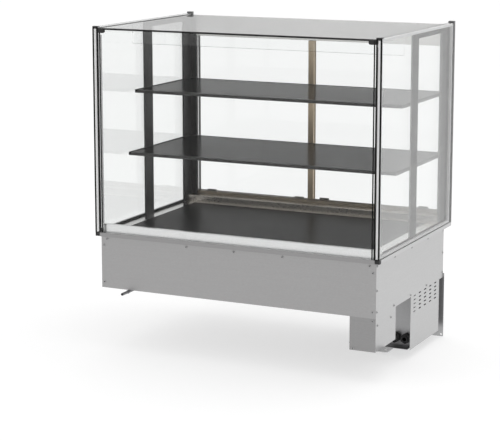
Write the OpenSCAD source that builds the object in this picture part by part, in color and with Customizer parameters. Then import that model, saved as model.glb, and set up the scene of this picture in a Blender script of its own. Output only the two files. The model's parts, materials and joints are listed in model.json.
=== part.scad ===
// Drop-in heated display case: a sheet-steel base box hangs in a counter cut-out by its flange,
// and a glass cabinet with two heated black-glass shelves stands on top of the flange.
// +X runs to the right along the customer front, +Y runs back to the operator, +Z is up.
// The origin is the middle of the front flange strip, on its underside, where it meets the counter.

/* [Overall] */
// Width over the counter flange and over the side glazing
case_w = 1070; // [880:5:1300]
// Depth of the counter flange, front to back
case_d = 716; // [600:2:860]
// Height of the side glazing above the flange
glazing_h = 722; // [600:2:860]

/* [Counter flange] */
// Height of the flange lip above the counter
lip_h = 14; // [11:1:18]
// Flange overhang in front of the base box
flange_front = 14; // [12:1:20]
// Flange overhang at each side of the base box
flange_side = 16; // [12:1:20]
// Flange overhang behind the base box
flange_rear = 36; // [34:1:44]
// Thickness of the sheet steel
sheet_t = 1.5; // [1:0.25:2]

/* [Base box] */
// Depth of the base box below the counter
base_h = 186; // [150:1:230]
// Width of the folded flanges inside the base box
fold_w = 22; // [20:1:28]

/* [Heated deck] */
// Thickness of the black glass hot plate
plate_t = 6; // [5:0.5:8]
// Width of the bright steel border at each side of the hot plate
side_border = 52; // [44:1:70]
// Depth of the steel border in front of the hot plate, from the lip
front_border = 75; // [60:1:90]
// Depth of the hot plate's rear edge in front of the rear ledge
rear_border = 22; // [16:1:30]
// Height of the front and rear upstands above the flange
upstand_h = 30; // [24:1:40]
// Bearing width of the hot plate's rim
plate_rim = 12; // [10:1:16]
// Thickness of the mineral wool under the heaters
wool_t = 30; // [20:1:40]
// Thickness of a heater pad
pad_t = 3; // [2:0.5:4]
// Gap between heater pads
pad_gap = 14; // [12:1:20]

/* [Side glazing] */
// Thickness of a side pane
pane_t = 6; // [5:0.5:8]
// Gap between the two panes of a side
pane_gap = 9; // [8:0.5:14]
// Depth of the profile that closes the rear edge of a side
corner_d = 16; // [14:1:20]
// How far that profile stands above the glazing
corner_rise = 6; // [3:1:10]

/* [Frame] */
// Width of a flat post
post_w = 60; // [40:1:72]
// Thickness of a post
post_t = 6; // [4:0.5:8]
// Distance of the middle post from the front lip
mid_post_set = 320; // [280:1:360]
// Height of the top rails
rail_h = 20; // [16:1:30]
// How far the top rails lie below the glazing's top edge
rail_drop = 10; // [8:1:14]
// Width of a rear upright
upright_w = 24; // [20:1:30]
// Height of the rear top beam
beam_h = 72; // [50:1:84]
// Thickness of the top glass
top_glass_t = 6; // [5:0.5:8]

/* [Front glass] */
// Thickness of the hinged front glass
front_t = 6; // [5:0.5:8]
// Gap under the front glass
front_gap = 1; // [0.6:0.1:2]
// Height of the pivot below the front glass's top edge
pivot_drop = 8; // [7:0.5:10]
// Diameter of the pivot pins
pivot_d = 6; // [5:0.5:8]
// Radial running clearance of pins and spindles
run_clear = 0.06; // [0.03:0.01:0.09]
// Width of a glass clamp
clamp_w = 20; // [16:1:26]
// Height of a glass clamp
clamp_h = 15; // [14:0.5:20]

/* [Shelves] */
// Height of the lower shelf's frame above the flange
lower_shelf_z = 248; // [220:1:275]
// Height of the upper shelf's frame above the flange
upper_shelf_z = 468; // [440:1:490]
// Distance of the lower shelf's front edge from the lip
lower_shelf_set = 196; // [170:1:240]
// Distance of the upper shelf's front edge from the lip
upper_shelf_set = 246; // [200:1:290]
// Height of the shelf frame
shelf_frame_h = 12; // [11:0.5:16]
// Width of a shelf side arm
arm_w = 10; // [8:0.5:14]
// Thickness of the shelf glass
shelf_glass_t = 5; // [4:0.5:6]

/* [Sliding doors] */
// Thickness of a door glass
door_t = 5; // [4:0.5:6]
// Width of a door's meeting stile
stile_w = 22; // [20:1:34]
// How far the meeting stiles sit to the left of the middle
meet_set = 11; // [0:1:16]
// Width of one track groove
groove_w = 12; // [11:0.5:13]
// Height of the bottom track
track_h = 12; // [10:1:16]
// Diameter of a door roller
roller_d = 10; // [9:0.5:11]

/* [Boxes under the base] */
// Width of the junction box
junction_w = 92; // [80:1:120]
// Depth of the junction box
junction_d = 186; // [150:1:220]
// Height of the junction box
junction_h = 114; // [90:1:140]
// Width of the control housing
housing_w = 230; // [220:1:300]
// Height of the control housing
housing_h = 190; // [175:1:220]
// Distance of the vented side plate's front edge from the lip
vent_set = 347; // [335:1:380]
// Depth of the cable bay in front of the housing's front wall
bay_d = 53; // [50:1:70]
// Distance between the housing and the control panel
neck_d = 40; // [34:1:50]
// Width of the control panel
panel_w = 262; // [256:1:300]
// Height of the control panel
panel_h = 237; // [225:1:260]
// Thickness of the control panel
panel_t = 2; // [1.5:0.25:3]
// Overlap of the control panel on the base box
panel_lap = 15; // [14:1:20]

/* [Controls] */
// Diameter of a regulator knob
knob_d = 36; // [30:1:42]
// Height of a regulator knob
knob_h = 20; // [16:1:24]
// Distance between two regulator knobs
knob_pitch = 72; // [64:1:80]
// Diameter of a regulator spindle
spindle_d = 6; // [5:0.5:8]
// Width and height of the rocker switch key
rocker_size = [16, 24]; // [10:1:40]
// Tilt of the rocker each side of level, in degrees
rocker_tilt = 10; // [6:1:12]

/* [Cables and drain] */
// Width across the flats of a gland nut
gland_af = 32; // [28:1:34]
// Diameter of the cable hole in a gland nut
gland_bore = 14; // [10:0.5:16]
// Distance between the two glands
gland_pitch = 39; // [38:1:46]
// Outer diameter of the drain tube
drain_d = 10; // [8:0.5:14]
// How far the drain tube stands out in front of the base box
drain_out = 42; // [25:1:60]

/* [Fasteners] */
// Diameter of a screw head
head_d = 8.5; // [7:0.5:10]
// Height of a screw head
head_h = 2.4; // [1.5:0.1:3]
// Diameter of a screw shank
shank_d = 4; // [3:0.5:5]

/* [Hidden] */
$fn = 48;
fit = 0.5; // assembly gap between parts of the fixed structure
hole_clear = 0.3; // radial clearance of screw and cable holes

// Widths, measured from the middle
x_lip = case_w / 2;
x_base = x_lip - flange_side;
x_gap_out = x_lip - pane_t;
x_gap_in = x_gap_out - pane_gap;
x_in = x_gap_in - pane_t;
x_post = x_in - post_t;
x_plate = x_in - side_border;
x_upright = x_post - upright_w;

// Depths
y_lip = -flange_front / 2;
y_base = flange_front / 2;
y_back_lip = y_lip + case_d;
y_back = y_back_lip - flange_rear;
y_pane_end = y_back_lip - corner_d;
y_upstand = y_lip + front_t + 9;
upstand_d = 12;
y_plate_front = y_lip + front_border;
y_ledge = y_back - neck_d;
y_plate_back = y_ledge - rear_border;
y_mid_post = y_lip + mid_post_set;
y_back_post = y_back - post_w;

// Heights
z_flange = lip_h;
z_deck = z_flange + plate_t;
z_top = z_flange + glazing_h;
z_rail = z_top - rail_drop;
z_upstand = z_flange + upstand_h;
z_front_top = z_top - 5;
z_pivot = z_front_top - pivot_drop;
y_pivot = y_lip + front_t / 2;
z_well = z_flange - pad_t - wool_t;
z_beam = z_rail - beam_h;

// Counter flange corner notches that take the glazing's front corner caps
notch = [pane_t + pane_gap + 2, 16];

// Doors
track_wall = 2;
y_groove = [for (i = [0, 1]) y_back + 5 + track_wall + groove_w / 2 + i * (groove_w + track_wall)];
x_meet = -meet_set;
z_track = z_upstand + track_wall;
z_door = z_upstand + track_h + 1;
z_door_top = z_beam + 14;
stile_d = groove_w - 2;

// Control area
x_panel = x_base + 5;
x_panel_low = x_panel - panel_w;
z_panel = -base_h + panel_lap;
z_panel_low = z_panel - panel_h;
x_housing = x_base - housing_w;
y_vent = y_lip + vent_set;
y_housing = y_vent + bay_d;
y_housing_back = y_back - neck_d;
z_housing = -base_h - housing_h;
x_controls = x_panel - panel_w / 2;
z_knobs = z_panel_low + 0.36 * panel_h;
z_rocker = z_panel_low + 0.72 * panel_h;
x_knobs = [for (i = [-1, 0, 1]) x_controls + i * knob_pitch];
x_rocker = x_controls - knob_pitch;
y_panel_face = y_back + panel_t;
panel_hole_inset = 8;
panel_hole_d = 6.4;
x_glands = [for (i = [0, 1]) x_base - 31 - i * gland_pitch];
z_gland = z_housing + 29;
gland_neck = gland_af * 0.76;
x_drain = -x_base + 105;
y_riser = y_base + 96;
z_drain = -base_h - drain_d / 2 - 2;
x_loom = x_housing + 60;
y_loom = y_housing + 80;
loom_d = 12;

// Screw positions: [x, z] on the front, [y, z] on the sides
z_screw_top = -10;
front_screws = concat(
    [for (x = [-0.955, -0.35, 0, 0.35, 0.955]) [x * x_base, z_screw_top]],
    [for (s = [-1, 1], z = [-33, 21 - base_h]) [s * (x_base - fold_w / 2), z]]);
side_inset = 8;
side_screws = concat(
    [for (i = [0 : 4]) [y_base + side_inset + i * (y_back - y_base - 2 * side_inset) / 4, z_screw_top]],
    [for (y = [y_base + side_inset, y_back - side_inset], z = [-base_h / 2, 21 - base_h]) [y, z]]);
floor_screws = [for (y = [y_base + 168, y_base + 329, y_base + 489]) [y, 8 - base_h]];
junction_side_screws = [for (y = [y_base + 16, y_base + junction_d - 46]) [y, -base_h - 26]];
junction_front_screws = [[x_base - 11, -base_h - 9], [x_base - junction_w + 13, -base_h - junction_h + 7]];
plate_screws = [for (x = [x_panel_low + panel_hole_inset, x_base - 12]) [x, z_panel - panel_hole_inset]];

// A block between two opposite corners
module span(low, high) {
    translate(low) cube(high - low);
}

// The children and their mirror image on the other side of the case
module both_sides() {
    children();
    mirror([1, 0, 0]) children();
}

// A cylinder along Y from y0 to y1
module rod_y(x, z, d, y0, y1) {
    translate([x, y0, z]) rotate([-90, 0, 0]) cylinder(d = d, h = y1 - y0);
}

// A cylinder along X from x0 to x1
module rod_x(y, z, d, x0, x1) {
    translate([x0, y, z]) rotate([0, 90, 0]) cylinder(d = d, h = x1 - x0);
}

// A screw that points along -Y (a front face) or +Y (a rear face), with its head outside
module screw_y(x, z, y_face, out) {
    y_head = out < 0 ? y_face - head_h : y_face;
    y_shank = out < 0 ? y_face : y_face - 3 * sheet_t;
    rod_y(x, z, head_d, y_head, y_head + head_h);
    rod_y(x, z, shank_d, y_shank, y_shank + 3 * sheet_t);
}

// A screw in a side face, with its head outside
module screw_x(y, z, x_face, side) {
    mirror([side < 0 ? 1 : 0, 0, 0]) {
        rod_x(y, z, head_d, x_face, x_face + head_h);
        rod_x(y, z, shank_d, x_face - 3 * sheet_t, x_face);
    }
}

// Holes for screws along Y
module holes_y(points, y0, y1) {
    for (p = points) rod_y(p[0], p[1], shank_d + 2 * hole_clear, y0, y1);
}

// Holes for screws along X
module holes_x(points, x0, x1) {
    for (p = points) rod_x(p[0], p[1], shank_d + 2 * hole_clear, x0, x1);
}

// Folded deck sheet: flange, lip, return under the lip, fixing flanges and the heater well
module counter_flange() {
    well_x = x_plate - plate_rim;
    well_y0 = y_plate_front + plate_rim;
    well_y1 = y_plate_back - plate_rim;
    x_fix = x_base - sheet_t - fit / 5;
    y_fix0 = y_base + sheet_t + fit / 5;
    y_fix1 = y_back - sheet_t - fit / 5;
    color("silver") difference() {
        union() {
            difference() {
                span([-x_lip, y_lip, 0], [x_lip, y_back_lip, z_flange]);
                span([-x_lip + sheet_t, y_lip + sheet_t, sheet_t],
                    [x_lip - sheet_t, y_back_lip - sheet_t, z_flange - sheet_t]);
                span([-x_base, y_base, -1], [x_base, y_back, z_flange - sheet_t]);
            }
            difference() {
                span([-x_fix, y_fix0, -fold_w], [x_fix, y_fix1, z_flange - 0.1]);
                span([-x_fix + sheet_t, y_fix0 + sheet_t, -fold_w - 1],
                    [x_fix - sheet_t, y_fix1 - sheet_t, z_flange - sheet_t]);
            }
            span([-well_x - sheet_t, well_y0 - sheet_t, z_well - sheet_t],
                [well_x + sheet_t, well_y1 + sheet_t, z_flange - 0.1]);
        }
        span([-well_x, well_y0, z_well], [well_x, well_y1, z_flange + 1]);
        both_sides() span([x_lip - notch[0], y_lip - 1, -1], [x_lip + 1, y_lip + notch[1], z_flange + 1]);
        holes_y([for (p = front_screws) if (p[1] == z_screw_top) p], y_base, y_base + 3 * fold_w);
        for (s = [-1, 1], p = side_screws) if (p[1] == z_screw_top)
            rod_x(p[0], p[1], shank_d + 2 * hole_clear, s * x_base - fold_w, s * x_base + fold_w);
        translate([x_loom, y_loom, z_well - 2 * sheet_t]) cylinder(d = loom_d - 4, h = 3 * sheet_t);
        translate([x_drain, y_riser, z_well - 2 * sheet_t]) cylinder(d = drain_d - 2, h = 3 * sheet_t);
    }
}

// Folded steel border behind the front glass, with its upstand
module front_upstand() {
    half = x_in - 2 - fit;
    y1 = y_upstand + upstand_d;
    color("gainsboro") {
        difference() {
            union() {
                span([-half, y_upstand, z_flange], [half, y1, z_upstand]);
                span([-half, y1 - sheet_t, z_flange], [half, y_plate_front - fit, z_deck]);
            }
            span([-half - 1, y_upstand + sheet_t, z_flange - 1],
                [half + 1, y1 - sheet_t, z_upstand - sheet_t]);
            span([-half - 1, y1 - 2 * sheet_t, z_flange - 1],
                [half + 1, y_plate_front - fit - sheet_t, z_deck - sheet_t]);
        }
    }
}

// Folded steel ledge behind the hot plate, which carries the door track
module rear_ledge() {
    half = x_post - fit;
    color("silver") difference() {
        union() {
            span([-half, y_plate_back + fit, z_flange], [half, y_ledge + sheet_t, z_deck]);
            span([-half, y_ledge, z_flange], [half, y_back_lip, z_upstand]);
        }
        span([-half - 1, y_plate_back + fit + sheet_t, z_flange - 1],
            [half + 1, y_ledge + 2 * sheet_t, z_deck - sheet_t]);
        span([-half - 1, y_ledge + sheet_t, z_flange - 1],
            [half + 1, y_back_lip - sheet_t, z_upstand - sheet_t]);
    }
}

// Polished folded strips beside the hot plate, under the posts
module side_trims() {
    y0 = y_upstand + upstand_d;
    y1 = y_plate_back;
    color("white") both_sides() difference() {
        union() {
            span([x_plate + fit, y_plate_front, z_flange], [x_in, y1, z_deck]);
            span([x_post, y1 - 1, z_flange], [x_in, y_back_lip, z_deck]);
        }
        span([x_plate + fit + sheet_t, y_plate_front - 1, z_flange - 1],
            [x_post - sheet_t, y1 + 2, z_deck - sheet_t]);
    }
}

// Black glass hot plate, resting on the rim of the heater well
module hot_plate() {
    color([0.06, 0.06, 0.07])
        span([-x_plate, y_plate_front, z_flange], [x_plate, y_plate_back, z_deck]);
}

// Three flat heater pads under the hot plate
module deck_heaters() {
    inner = x_plate - plate_rim - fit;
    pad_w = (2 * inner - 2 * pad_gap) / 3;
    color("dimgray") for (i = [0 : 2])
        translate([-inner + i * (pad_w + pad_gap), y_plate_front + plate_rim + fit, z_flange - pad_t])
            cube([pad_w, y_plate_back - y_plate_front - 2 * (plate_rim + fit), pad_t]);
}

// Mineral wool slab in the well, with a groove for the probe
module deck_insulation() {
    inner = x_plate - plate_rim - fit;
    color("khaki") difference() {
        span([-inner, y_plate_front + plate_rim + fit, z_well],
            [inner, y_plate_back - plate_rim - fit, z_flange - pad_t]);
        translate([probe_x() - pad_gap / 2, y_plate_front, z_flange - 6])
            cube([pad_gap, y_plate_back - y_plate_front, 9]);
    }
}

function probe_x() = (x_plate - plate_rim - fit + pad_gap / 2) / 3;

// Thermostat bulb under the hot plate, between two heater pads
module temperature_probe() {
    y_mid = (y_plate_front + y_plate_back) / 2;
    color("goldenrod") rod_y(probe_x(), z_flange - 3, 6, y_mid - 60, y_mid + 60);
}

// Front panel of the base box
module base_front_panel() {
    color("darkgray") difference() {
        span([-x_base, y_base, -base_h], [x_base, y_base + sheet_t, z_flange - sheet_t]);
        holes_y(front_screws, y_base - 1, y_base + sheet_t + 1);
    }
}

// Rear panel of the base box
module base_rear_panel() {
    color("darkgray") difference() {
        span([-x_base, y_back - sheet_t, -base_h], [x_base, y_back, z_flange - sheet_t]);
        holes_y(plate_screws, y_back - sheet_t - 1, y_back + 1);
    }
}

// One side sheet of the base box, between the front and rear panels
module side_sheet() {
    span([x_base - sheet_t, y_base + sheet_t, -base_h],
        [x_base, y_back - sheet_t, z_flange - sheet_t]);
}

// Holes for all the screws of a side panel
module side_sheet_holes() {
    holes_x(concat(side_screws, floor_screws), x_base - sheet_t - 1, x_base + 1);
}

// Left side panel of the base box
module base_left_panel() {
    color("silver") mirror([1, 0, 0]) difference() {
        side_sheet();
        side_sheet_holes();
    }
}

// Right side panel: one sheet that runs down past the base as the vented side of the housing
module base_right_panel() {
    slot_len = 21;
    slot_h = 4.5;
    color("silver") difference() {
        union() {
            side_sheet();
            span([x_base - sheet_t, y_vent, z_housing], [x_base, y_housing_back, -base_h + 1]);
        }
        side_sheet_holes();
        for (i = [0 : 4], j = [0 : 4])
            translate([x_base, y_vent + 38 + i * 53.4, -base_h - 3 - j * 14]) rotate([90, 0, 90])
                linear_extrude(6 * sheet_t, center = true) vent_slot(slot_len, slot_h);
    }
}

// Outline of a round-ended slot
module vent_slot(len, h) {
    for (s = [-1, 1]) translate([s * (len - h) / 2, 0]) circle(d = h, $fn = 24);
    square([len - h, h], center = true);
}

// Bottom panel of the base box, with an upturned edge along both sides
module base_bottom_panel() {
    inner = x_base - sheet_t;
    y0 = y_base + sheet_t;
    y1 = y_back - sheet_t;
    color("darkgray") difference() {
        union() {
            span([-inner, y0, -base_h], [inner, y1, -base_h + sheet_t]);
            both_sides() span([inner - sheet_t, y0 + fold_w + 2, -base_h],
                [inner, y1 - fold_w - 2, -base_h + 16]);
        }
        for (s = [-1, 1], p = concat(floor_screws, side_screws))
            rod_x(p[0], p[1], shank_d + 2 * hole_clear, s * inner - 3 * sheet_t, s * inner + 3 * sheet_t);
        translate([x_drain, y_riser, -base_h - 1]) cylinder(d = drain_d + 2 * hole_clear, h = 4);
        translate([x_loom, y_loom, -base_h - 1]) cylinder(d = loom_d + 4, h = 4);
    }
}

// Corner angles that join the base panels, and the angle that hangs the junction box
module corner_brackets() {
    lap = fit / 5;
    x1 = x_base - sheet_t - lap;
    y0 = y_base + sheet_t + lap;
    y1 = y_back - sheet_t - lap;
    z0 = -base_h + sheet_t + fit;
    color("silver") {
        for (s = [-1, 1]) mirror([s < 0 ? 1 : 0, 0, 0]) difference() {
            union() {
                for (y = [y0, y1 - fold_w])
                    span([x1 - sheet_t, y, z0], [x1, y + fold_w, -fold_w - fit]);
                for (y = [y0, y1 - sheet_t])
                    span([x1 - fold_w, y, z0], [x1, y + sheet_t, -fold_w - fit]);
            }
            holes_x(side_screws, x1 - 2 * sheet_t, x_base);
            holes_y(front_screws, y_base, y0 + 2 * sheet_t);
            holes_y(plate_screws, y1 - 2 * sheet_t, y_back);
        }
        difference() {
            union() {
                span([x1 - sheet_t, y_base + 2 * sheet_t, -base_h - 40],
                    [x1, y_base + junction_d - 2 * sheet_t, -base_h]);
                span([x1 - fold_w, y_base + 2 * sheet_t, -base_h - sheet_t],
                    [x1, y_base + junction_d - 2 * sheet_t, -base_h]);
            }
            holes_x(junction_side_screws, x1 - 2 * sheet_t, x_base);
        }
    }
}

// Folded junction box under the front right corner, open at the top and front
module junction_box() {
    x0 = x_base - junction_w;
    y0 = y_base + sheet_t;
    y1 = y_base + junction_d;
    z0 = -base_h - junction_h;
    color("silver") difference() {
        span([x0, y0, z0], [x_base, y1, -base_h]);
        span([x0 + sheet_t, y0 - 1, z0 + sheet_t], [x_base - sheet_t, y1 - sheet_t, -base_h + 1]);
        holes_x(junction_side_screws, x_base - sheet_t - 1, x_base + 1);
    }
}

// Front cover of the junction box
module junction_cover() {
    x0 = x_base - junction_w;
    color("darkgray") difference() {
        span([x0, y_base, -base_h - junction_h], [x_base, y_base + sheet_t, -base_h]);
        holes_y(junction_front_screws, y_base - 1, y_base + sheet_t + 1);
    }
}

// Fixing foot under the junction box
module foot_plate() {
    foot_t = 3;
    foot = [82, 62];
    corner_r = 8;
    color("gray") translate([x_base - 48, y_base + 22, -base_h - junction_h - foot_t]) difference() {
        linear_extrude(foot_t) union() {
            square([foot[0] - corner_r, foot[1]]);
            translate([0, corner_r]) square([foot[0], foot[1] - 2 * corner_r]);
            for (y = [corner_r, foot[1] - corner_r]) translate([foot[0] - corner_r, y]) circle(corner_r);
        }
        translate([foot[0] - 17, foot[1] / 2, -1]) cylinder(d = 9, h = foot_t + 2);
    }
}

// Drain tube: a riser through the bottom panel and a run towards the front
module drain_tube() {
    wall = 1;
    y_end = y_base - drain_out;
    color("gray") difference() {
        union() {
            rod_y(x_drain, z_drain, drain_d, y_end, y_riser + drain_d / 2);
            translate([x_drain, y_riser, z_drain]) cylinder(d = drain_d, h = z_well - sheet_t - z_drain);
            translate([x_drain, y_riser, -base_h - 3]) cylinder(d = drain_d + 10, h = 3);
            rod_y(x_drain, z_drain, drain_d + 3, y_base - 2, y_base + 1);
        }
        rod_y(x_drain, z_drain, drain_d - 2 * wall, y_end - 1, y_riser);
        translate([x_drain, y_riser, z_drain]) cylinder(d = drain_d - 2 * wall, h = base_h);
    }
}

// Control housing: floor that runs forward under the cable bay, three walls and the neck
module control_housing() {
    x1 = x_base - sheet_t;
    neck = [x_housing + 8, x1 - 22];
    neck_z = [z_housing + 10, -base_h - 12];
    color("darkgray") difference() {
        union() {
            span([x_housing, y_housing, z_housing], [x1, y_housing_back, z_housing + sheet_t]);
            span([x_housing, y_vent, z_housing], [x1 - 9, y_housing + 1, z_housing + sheet_t]);
            span([x_housing, y_housing, z_housing], [x_housing + sheet_t, y_housing_back, -base_h]);
            span([x_housing, y_housing, z_housing], [x1, y_housing + sheet_t, -base_h]);
            span([x_housing, y_housing_back - sheet_t, z_housing], [x1, y_housing_back, -base_h]);
            span([neck[0], y_housing_back - 1, neck_z[0]], [neck[1], y_back, neck_z[1]]);
        }
        span([neck[0] + sheet_t, y_housing_back - 5, neck_z[0] + sheet_t],
            [neck[1] - sheet_t, y_back + 1, neck_z[1] - sheet_t]);
        for (x = x_glands) rod_y(x, z_gland, gland_neck + 2 * hole_clear, y_housing - 1, y_housing + 3);
    }
}

// Operator control panel on the rear, with four fixing holes
module control_panel() {
    bezel = rocker_body();
    color("gray") difference() {
        span([x_panel_low, y_back, z_panel_low], [x_panel, y_panel_face, z_panel]);
        for (x = [x_panel_low + panel_hole_inset, x_panel - panel_hole_inset],
            z = [z_panel_low + panel_hole_inset])
            rod_y(x, z, panel_hole_d, y_back - 1, y_panel_face + 1);
        holes_y(plate_screws, y_back - 1, y_panel_face + 1);
        for (x = x_knobs) rod_y(x, z_knobs, spindle_d + 4, y_back - 1, y_panel_face + 1);
        for (x = x_knobs) rod_y(x, z_knobs + lamp_up(), 9, y_back - 1, y_panel_face + 1);
        span([x_rocker - bezel[0] / 2 - 0.2, y_back - 1, z_rocker - bezel[1] / 2 - 0.2],
            [x_rocker + bezel[0] / 2 + 0.2, y_panel_face + 1, z_rocker + bezel[1] / 2 + 0.2]);
    }
}

function rocker_body() = [rocker_size[0] + 5, rocker_size[1] + 5];
function lamp_up() = knob_d / 2 + 14;

// Rocker switch housing with its bezel and the two pivot bores
module rocker_housing() {
    body = rocker_body();
    well = [rocker_size[0] + 1, rocker_size[1] + 3];
    color([0.1, 0.1, 0.1]) difference() {
        union() {
            span([x_rocker - body[0] / 2, y_back - 24, z_rocker - body[1] / 2],
                [x_rocker + body[0] / 2, y_panel_face, z_rocker + body[1] / 2]);
            span([x_rocker - body[0] / 2 - 3, y_panel_face, z_rocker - body[1] / 2 - 3],
                [x_rocker + body[0] / 2 + 3, y_panel_face + 4, z_rocker + body[1] / 2 + 3]);
        }
        span([x_rocker - well[0] / 2, y_back - 10, z_rocker - well[1] / 2],
            [x_rocker + well[0] / 2, y_panel_face + 5, z_rocker + well[1] / 2]);
        rod_x(y_panel_face + 2, z_rocker, 3 + 2 * run_clear,
            x_rocker - body[0] / 2 - 1.5, x_rocker + body[0] / 2 + 1.5);
    }
}

// Rocker key with its trunnions, resting in the off position
module main_rocker() {
    color("firebrick") translate([x_rocker, y_panel_face + 2, z_rocker]) rotate([-rocker_tilt, 0, 0]) {
        span([-rocker_size[0] / 2, -4, -rocker_size[1] / 2], [rocker_size[0] / 2, 4, rocker_size[1] / 2]);
        rod_x(0, 0, 3, -rocker_size[0] / 2 - 3, rocker_size[0] / 2 + 3);
    }
}

// Three heat regulators behind the control panel
module regulator_bodies() {
    body = [38, 42, 46];
    color("beige") for (x = x_knobs) difference() {
        span([x - body[0] / 2, y_back - body[1], z_knobs - body[2] / 2],
            [x + body[0] / 2, y_back, z_knobs + body[2] / 2]);
        rod_y(x, z_knobs, spindle_d + 2 * run_clear, y_back - 16, y_back + 1);
    }
}

// A knob on its spindle; the knob has a raised pointer and a skirt
module knob(x) {
    y0 = y_panel_face + 1;
    color([0.08, 0.08, 0.08]) {
        rod_y(x, z_knobs, knob_d, y0, y0 + 4);
        rod_y(x, z_knobs, knob_d * 0.8, y0 + 3.9, y0 + knob_h);
        span([x - 2.5, y0 + 3.9, z_knobs], [x + 2.5, y0 + knob_h + 1.5, z_knobs + knob_d * 0.42]);
        rod_y(x, z_knobs, spindle_d, y_back - 15, y0 + 1);
    }
}

// Heat knob of the deck
module deck_knob() {
    knob(x_knobs[0]);
}

// Heat knob of the lower shelf
module lower_shelf_knob() {
    knob(x_knobs[1]);
}

// Heat knob of the upper shelf
module upper_shelf_knob() {
    knob(x_knobs[2]);
}

// Pilot lamps above the knobs
module pilot_lamps() {
    color("orange") for (x = x_knobs) {
        rod_y(x, z_knobs + lamp_up(), 8.4, y_back - 14, y_panel_face);
        rod_y(x, z_knobs + lamp_up(), 11, y_panel_face, y_panel_face + 2);
    }
}

// A hexagonal prism along Y, with its flats left and right
module hex_y(x, z, af, y0, y1) {
    translate([x, y0, z]) rotate([-90, 0, 0]) rotate(30) cylinder(d = af / cos(30), h = y1 - y0, $fn = 6);
}

// Two gland bodies in the housing's front wall, each with a neck and a lock nut inside
module cable_glands() {
    color([0.1, 0.1, 0.1]) for (x = x_glands) difference() {
        union() {
            hex_y(x, z_gland, gland_af, y_housing - 8, y_housing);
            rod_y(x, z_gland, gland_neck, y_housing - 0.1, y_housing + sheet_t + 0.1);
            hex_y(x, z_gland, gland_af, y_housing + sheet_t, y_housing + sheet_t + 6);
            rod_y(x, z_gland, gland_neck, y_housing - 10, y_housing - 7.9);
        }
        rod_y(x, z_gland, gland_bore + 2, y_housing - 11, y_housing + 12);
    }
}

// Two gland nuts with the cable holes, pointing to the front
module gland_nuts() {
    color([0.08, 0.08, 0.08]) for (x = x_glands) difference() {
        union() {
            hex_y(x, z_gland, gland_af, y_housing - 24, y_housing - 10);
            rod_y(x, z_gland, gland_af * 0.8, y_housing - 30, y_housing - 23.9);
        }
        rod_y(x, z_gland, gland_bore, y_housing - 31, y_housing - 9);
    }
}

// Terminal block on the housing floor
module terminal_block() {
    n = 5;
    pitch = 10;
    x0 = x_glands[0] - n * pitch / 2;
    color("ivory") difference() {
        translate([x0, y_housing + 70, z_housing + sheet_t]) cube([n * pitch, 26, 30]);
        for (i = [0 : n - 1]) translate([x0 + (i + 0.5) * pitch, y_housing + 83, z_housing + sheet_t + 20])
            cylinder(d = 6, h = 12);
    }
}

// Two power relays on the housing's floor
module power_relays() {
    color("lightgray") for (i = [0, 1])
        translate([x_housing + 30 + i * 60, y_housing + 20, z_housing + sheet_t]) difference() {
            cube([45, 36, 60]);
            translate([6, -1, 44]) cube([33, 9, 17]);
        }
}

// Wire loom from the heater well down into the housing, and the mains lead to the block
module wiring() {
    z_low = z_housing + 90;
    color("black") {
        translate([x_loom, y_loom, z_low]) cylinder(d = loom_d, h = z_well - sheet_t - z_low);
        rod_y(x_glands[0], z_gland, gland_bore - 4, y_housing + sheet_t + 6, y_housing + 70);
    }
}

// All the self-tapping screws of the base panels, the junction box and the control panel
module panel_screws() {
    color("slategray") {
        for (p = front_screws) screw_y(p[0], p[1], y_base, -1);
        for (p = junction_front_screws) screw_y(p[0], p[1], y_base, -1);
        for (s = [-1, 1], p = concat(side_screws, floor_screws)) screw_x(p[0], p[1], x_base, s);
        for (p = junction_side_screws) screw_x(p[0], p[1], x_base, 1);
        for (p = plate_screws) screw_y(p[0], p[1], y_panel_face, 1);
    }
}

// A pane at each side, with its inner face at x
module side_panes(x) {
    color([0.8, 0.9, 0.9, 0.3]) both_sides()
        span([x, y_lip, z_flange], [x + pane_t, y_pane_end, z_top]);
}

module outer_panes() {
    side_panes(x_gap_out);
}

module inner_panes() {
    side_panes(x_in);
}

// Spacer frame between the two panes of each side, and the seal strips behind the front glass
module glazing_spacers() {
    bar = 9;
    y0 = y_lip + 3;
    y1 = y_pane_end - 3;
    color("gray") both_sides() {
        difference() {
            span([x_gap_in, y0, z_flange + 2], [x_gap_out, y1, z_top - 2]);
            span([x_gap_in - 1, y0 + bar, z_flange + 2 + bar], [x_gap_out + 1, y1 - bar, z_top - 2 - bar]);
        }
        span([x_in - sheet_t, y_lip + front_t + 2, z_upstand + fit],
            [x_in, y_upstand + upstand_d, z_front_top - clamp_h - 8]);
    }
}

// Black caps on the front corners of the side glazing, top and bottom
module glazing_caps() {
    cap = [x_lip - x_in, 15];
    lap = 6;
    color([0.05, 0.05, 0.05]) both_sides() {
        span([x_base + fit, y_lip, fit], [x_lip, y_lip + cap[1], z_flange]);
        span([x_in, y_lip, z_top], [x_lip, y_lip + cap[1], z_top + 2.5]);
        span([x_gap_in, y_lip, z_top - lap], [x_gap_out, y_lip + 2.5, z_top]);
    }
}

// Black gaskets along the foot of the inner panes, cut at the posts
module glazing_gaskets() {
    g = [5, 7];
    color([0.05, 0.05, 0.05]) both_sides() {
        span([x_in - g[0], y_plate_front, z_deck], [x_in, y_mid_post - fit, z_deck + g[1]]);
        span([x_in - g[0], y_mid_post + post_w + fit, z_deck], [x_in, y_back_post - fit, z_deck + g[1]]);
    }
}

// Channel that closes the rear edge of each double-glazed side
module rear_corner_posts() {
    wall = 2;
    color([0.3, 0.3, 0.3]) both_sides() difference() {
        span([x_in, y_pane_end, z_flange], [x_lip, y_back_lip, z_top + corner_rise]);
        span([x_in + wall, y_pane_end - 1, z_flange - 1], [x_lip - wall, y_back_lip - wall, z_top]);
    }
}

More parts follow.
